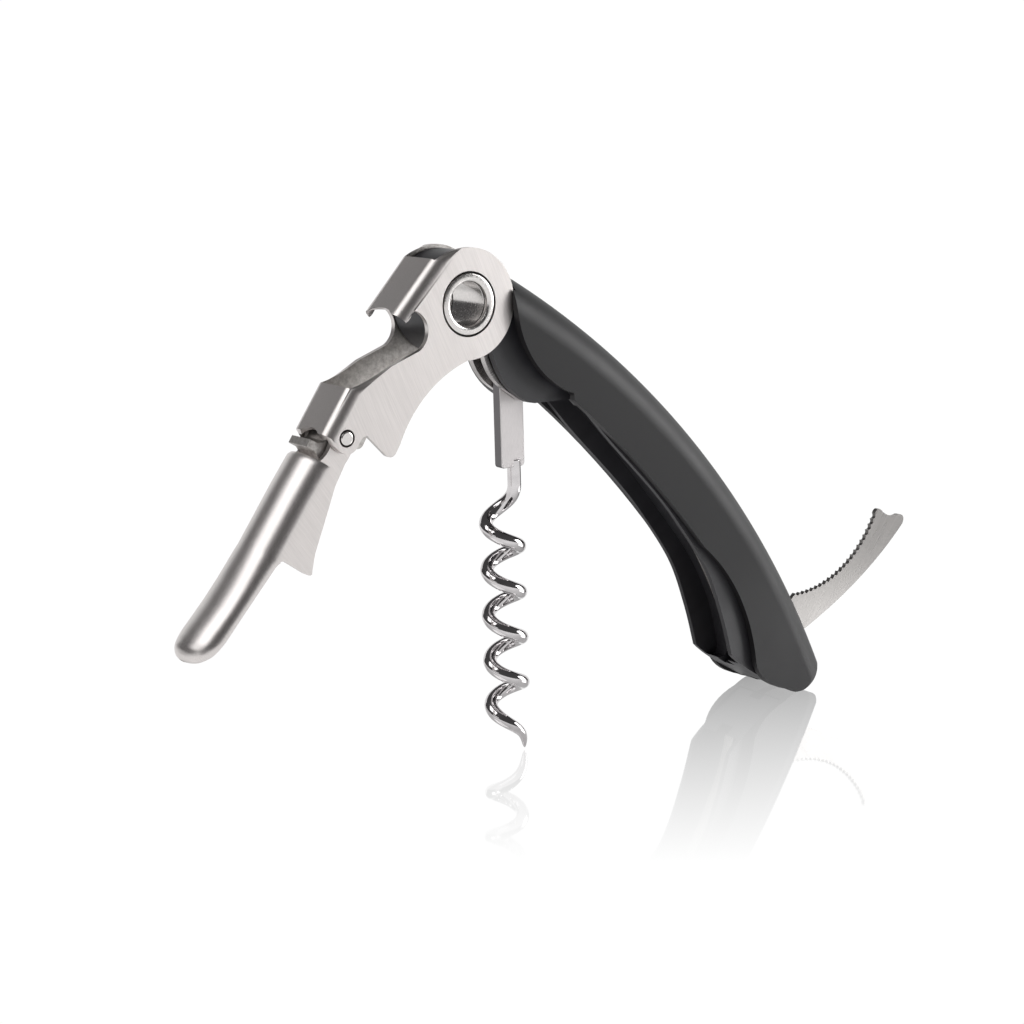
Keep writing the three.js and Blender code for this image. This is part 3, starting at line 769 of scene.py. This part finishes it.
# ---------------------------------------------------------------- handle
BACK_RADIUS = 191.66
BACK_LENGTH = 118.4
BACK_ANGLE = 61.6                   # direction from the arc's centre to the hub's end of it
BACK_START = polar(PIVOT, HUB_RADIUS + 1.14, 26.5)
BACK_CENTRE = polar(BACK_START, -BACK_RADIUS, BACK_ANGLE)
END_ANGLE = BACK_ANGLE - math.degrees(BACK_LENGTH / BACK_RADIUS)
FRONT = (HUB_RADIUS + 18.1, 0.7)
FRONT_RADIUS = 18.66
FRONT_START = 251.3
HEEL_RADIUS = 39.6
SHELL_HALF = reach("handle_shell")
SHELL_CROWN = 6.6                   # how far the rounded back falls to the straight sides
HOLLOW_CROWN = 4.0
SHELL_WALL = 1.3
SHELL_CROWN_WALL = 1.6
END_WALL = 1.8
FLOOR_CLEARANCE = 0.02


def from_end(distance, depth):
    """A point in the handle: so far along its back from the end, and so deep below it."""
    angle = END_ANGLE + math.degrees(distance / BACK_RADIUS)
    return polar(BACK_CENTRE, BACK_RADIUS - depth, angle)


def part_way(share, depth):
    return from_end(BACK_LENGTH * (1 - share), depth)


def front_angle(fall):
    """Where the front edge meets a back that is lower by fall."""
    low, high = 150.0, 215.0
    for _ in range(40):
        middle = (low + high) / 2
        if math.dist(polar(FRONT, FRONT_RADIUS, middle), BACK_CENTRE) > BACK_RADIUS - fall:
            low = middle
        else:
            high = middle
    return high


def shell_section(fall):
    """The shell's outline in the XZ plane, where its rounded back is lower by fall."""
    top = front_angle(fall)
    start = polar(FRONT, FRONT_RADIUS, top)
    start_angle = math.degrees(math.atan2(start[1] - BACK_CENTRE[1], start[0] - BACK_CENTRE[0]))
    heel = from_end(36.0, 52.9)
    low = polar(heel, HEEL_RADIUS, END_ANGLE - 18.2)
    high = polar(heel, HEEL_RADIUS, END_ANGLE + 25.1)
    lip = polar(FRONT, FRONT_RADIUS, FRONT_START)
    count = 70
    back = [
        polar(BACK_CENTRE, BACK_RADIUS - fall, start_angle + (END_ANGLE - start_angle) * i / count)
        for i in range(count + 1)
    ]
    corner = from_end(-0.9 + fall * 0.12, 0.8 + fall)
    below = from_end(0.3 + fall * 0.05, 3.8 + fall * 0.85)
    under = from_end(0.1 + fall * 0.12, 8.9 + fall * 0.32)
    front = [
        polar(FRONT, FRONT_RADIUS, FRONT_START + (top - FRONT_START) * i / 16) for i in range(17)
    ]
    points = [
        *back[:-1],
        *bend(back[-2], corner, below, 6)[1:],
        *bend(below, under, from_end(4.3, 13.3), 8)[1:],
        *bend(from_end(4.3, 13.3), from_end(9.6, 18.3), low, 8)[1:],
        *[polar(heel, HEEL_RADIUS, END_ANGLE - 18.2 + 43.3 * i / 26) for i in range(1, 27)],
        *bend(high, part_way(0.398, 12.9), (lip[0] + 0.1, lip[1] - 1.3), 10)[1:],
        *front[:-1],
    ]
    lowest = (FLOOR - HUB.z) / MM + FLOOR_CLEARANCE
    return [(x, max(z, lowest)) for x, z in points]


def hollow_section(end_gap):
    """The space inside the shell, whose back follows the shell's back."""
    def section(fall):
        depth = SHELL_CROWN_WALL + fall
        slant = math.radians(END_ANGLE + 171.9)
        x, z = from_end(0, 0)
        top = (x - 0.6, z + end_gap)
        far = (top[0] + math.cos(slant) * 34, top[1] + math.sin(slant) * 34)
        best = min(range(400), key=lambda k: abs(cross(from_end(k * 0.05, depth), top, far)))
        first = best * 0.05
        count = 60
        reach_back = BACK_LENGTH + 16
        back = [from_end(first + (reach_back - first) * i / count, depth) for i in range(count + 1)]
        return [*back[::-1], far, (-5.0, -60.0)]
    return section


def cross(point, a, b):
    return (b[0] - a[0]) * (point[1] - a[1]) - (b[1] - a[1]) * (point[0] - a[0])


BLADE_SLOT = [from_end(*place) for place in (
    (16.2, 12.2), (26.8, 9.6), (38.6, 9.4), (56.5, 9.4), (63.3, 8.8), (63.1, -22.8), (6.7, -28.0),
    (-22.9, -0.8), (-15.9, 17.0), (11.3, 13.0),
)]


def make_shell():
    shell = loft("handle_shell_crowned", crowned_rings(SHELL_HALF, SHELL_CROWN, shell_section, 0.0, 20, 0))
    combine(shell, plate("slot", BLADE_SLOT, -1.05, 1.05))
    combine(shell, bar("hub", PIVOT, HUB_RADIUS + GAP, -LEVER_HALF - GAP, LEVER_HALF + GAP, 120))
    inner = SHELL_HALF - SHELL_WALL
    combine(shell, loft("hollow", crowned_rings(
        inner, HOLLOW_CROWN, hollow_section(END_WALL), 0.01, 12, 1,
    )))
    ease(shell, 0.3, 4, 48)
    finish_piece(shell, "handle", ["handle_shell"], "soft_touch")


# ---------------------------------------------------------------- foil knife
EDGE_CENTRE = (-22.53, 22.32)
EDGE_RADIUS = 24.54
SERRATIONS = 22
TANG_RADIUS = 4.2
BLADE_HALF = reach("knife_blade")


def make_knife():
    normal = math.degrees(math.atan2(KNIFE_PIN[1] - BACK_CENTRE[1], KNIFE_PIN[0] - BACK_CENTRE[0]))
    turn = math.radians(normal - 90)
    per_tooth = 8
    first, last = 327.9, 393.9
    edge = []
    for i in range(SERRATIONS * per_tooth + 1):
        angle = first + (last - first) * i / (SERRATIONS * per_tooth)
        depth = 0.5 * abs(math.sin(math.pi * i / per_tooth))
        edge.append(polar(EDGE_CENTRE, EDGE_RADIUS + depth, angle))
    shape = outline(
        bend((-1.4, 7.6), (-1.7, 8.8), edge[0]),
        edge,
        bend(edge[-1], (-3.2, 37.6), (-0.9, 38.1)),
        bend((-0.9, 38.1), (1.9, 39.5), (2.3, 41.6)),
        bend((2.3, 41.6), (3.8, 43.7), (5.0, 41.8)),
        bend((5.0, 41.8), (8.8, 26.9), (6.5, 7.9), 24),
        (4.2, -0.3), (-2.0, -1.9),
    )

    def placed(x, z):
        return (KNIFE_PIN[0] + x * math.cos(turn) - z * math.sin(turn),
                KNIFE_PIN[1] + x * math.sin(turn) + z * math.cos(turn))

    blade = plate("knife_blade_ground", [placed(x, z) for x, z in shape], -BLADE_HALF, BLADE_HALF)
    join(blade, bar("tang", KNIFE_PIN, TANG_RADIUS, -BLADE_HALF, BLADE_HALF, 72))
    combine(blade, bar("hole", KNIFE_PIN, PIN_HOLE, -3, 3, 48))
    ease(blade, 0.1, 2, 35)
    # Its dark steel colour is painted shade.
    finish_piece(blade, "knife", ["knife_blade"], "blade_steel")


# ---------------------------------------------------------------- pieces that keep the CAD shape
CARRIED = {
    "handle_frame": ("handle", "frame_plastic", "frame_plastic", 0.2),
    "liner_near": ("handle", "liner_steel", "liner_steel", 0.12),
    "liner_far": ("handle", "liner_steel", "liner_steel", 0.12),
    "liner_rivet_front": ("handle", "raw_steel", "raw_steel", 0.15),
    "liner_rivet_rear": ("handle", "raw_steel", "raw_steel", 0.15),
    "worm_pin": ("handle", "raw_steel", "raw_steel", 0.15),
    "knife_washer_near": ("handle", "liner_steel", "liner_steel", 0.08),
    "knife_washer_far": ("handle", "liner_steel", "liner_steel", 0.08),
    "knife_pin": ("handle", "raw_steel", "raw_steel", 0.15),
    "knife_backspring": ("handle", "raw_steel", "raw_steel", 0.15),
    "spring_pin": ("handle", "raw_steel", "raw_steel", 0.12),
    "lever_stop_plate": ("lower_lever", "raw_steel", "raw_steel", 0.12),
}


def make_carried():
    for node, (body, slot, look, radius) in CARRIED.items():
        finish_piece(carried(node, radius), body, [node], look)


make_upper_lever()
make_lower_lever()
make_pivot()
make_worm()
make_shell()
make_knife()
make_carried()


# ---------------------------------------------------------------- stage and light
WHITE = 1.02                        # just over full white
ROOM_LIGHT = 0.075                  # strength of the surroundings for everything but the camera
CONTACT_GLOSS = 0.68                # how glossy the floor is where it meets the corkscrew


def glow(name, strength, color=(1, 1, 1)):
    material = bpy.data.materials.new(name)
    material.use_nodes = True
    tree = material.node_tree
    tree.nodes.remove(tree.nodes["Principled BSDF"])
    light = tree.nodes.new("ShaderNodeEmission")
    light.inputs["Color"].default_value = (*color, 1)
    light.inputs["Strength"].default_value = strength
    tree.links.new(light.outputs["Emission"], tree.nodes["Material Output"].inputs["Surface"])
    return material


def floor_gloss():
    """White acrylic, whose reflection is strongest where the tool stands and fades in front and behind."""
    material = glow("white_acrylic", WHITE)
    tree = material.node_tree
    light = tree.nodes["Emission"]
    gloss = tree.nodes.new("ShaderNodeBsdfGlossy")
    gloss.inputs["Color"].default_value = (1, 1, 1, 1)
    gloss.inputs["Roughness"].default_value = 0.04
    place = tree.nodes.new("ShaderNodeTexCoord").outputs["Object"]
    toward = tree.nodes.new("ShaderNodeVectorMath")
    toward.operation = "DOT_PRODUCT"
    toward.inputs[1].default_value = (math.sin(VIEW_AZIMUTH), -math.cos(VIEW_AZIMUTH), 0)
    tree.links.new(place, toward.inputs[0])
    away = tree.nodes.new("ShaderNodeVectorMath")
    away.operation = "LENGTH"
    tree.links.new(place, away.inputs[0])
    fade = spread(tree, toward.outputs["Value"], CONTACT_GLOSS, 0.0, -0.04, 0.07)
    for limit in (
        spread(tree, toward.outputs["Value"], 0.0, 1.0, -0.1, -0.055),
        spread(tree, away.outputs["Value"], 1.0, 0.0, 0.1, 0.17),
    ):
        product = tree.nodes.new("ShaderNodeMath")
        product.operation = "MULTIPLY"
        tree.links.new(fade, product.inputs[0])
        tree.links.new(limit, product.inputs[1])
        fade = product.outputs["Value"]
    mix = tree.nodes.new("ShaderNodeMixShader")
    tree.links.new(fade, mix.inputs["Fac"])
    tree.links.new(light.outputs["Emission"], mix.inputs[1])
    tree.links.new(gloss.outputs["BSDF"], mix.inputs[2])
    tree.links.new(mix.outputs["Shader"], tree.nodes["Material Output"].inputs["Surface"])
    return material


def sheet(name, corners, material):
    bm = bmesh.new()
    bm.faces.new([bm.verts.new(corner) for corner in corners])
    mesh = bpy.data.meshes.new(name)
    bm.to_mesh(mesh)
    bm.free()
    card = bpy.data.objects.new(name, mesh)
    bpy.context.scene.collection.objects.link(card)
    card.data.materials.append(material)
    return card


def facing_card(name, azimuth, elevation, distance, width, height, material):
    """A flat card that faces the object; azimuth 0 is the near side, and 90 is the handle's side."""
    flat, rise = math.radians(azimuth), math.radians(elevation)
    out = Vector((
        math.sin(flat) * math.cos(rise), -math.cos(flat) * math.cos(rise), math.sin(rise),
    ))
    side = Vector((math.cos(flat), math.sin(flat), 0))
    top = out.cross(side).normalized() * -1
    middle = at(0, 0, -30) + out * distance
    corners = [
        middle + side * width * a / 2 + top * height * b / 2
        for a, b in ((-1, -1), (1, -1), (1, 1), (-1, 1))
    ]
    return sheet(name, corners, material)


def make_stage():
    span = 3.0
    sheet("floor", [(-span, -span, FLOOR), (span, -span, FLOOR), (span, span, FLOOR),
                    (-span, span, FLOOR)], floor_gloss())
    facing_card("backdrop", 180 + math.degrees(VIEW_AZIMUTH), 13, 2.4, 5.6, 1.7, glow("backdrop", WHITE))
    facing_card("softbox_right", 62, 5, 0.8, 0.42, 0.6, glow("softbox_right", 7.0))
    facing_card("softbox_rear", 92, 10, 0.8, 0.2, 0.4, glow("softbox_rear", 1.2))
    facing_card("softbox_left", -98, 50, 0.8, 0.6, 0.6, glow("softbox_left", 2.4))
    facing_card("strip_left", -82, 7, 0.8, 0.5, 0.14, glow("strip_left", 1.1))
    world = bpy.data.worlds.new("studio")
    world.use_nodes = True
    tree = world.node_tree
    # The surroundings look white, but light and reflect as a dark room, so that the steel has contrast.
    seen = tree.nodes.new("ShaderNodeLightPath").outputs["Is Camera Ray"]
    strength = spread(tree, seen, ROOM_LIGHT, WHITE, 0.0, 1.0)
    tree.links.new(strength, tree.nodes["Background"].inputs["Strength"])
    tree.nodes["Background"].inputs["Color"].default_value = (1.0, 0.98, 1.0, 1)
    bpy.context.scene.world = world
    bpy.context.scene.view_settings.view_transform = "Standard"


make_stage()
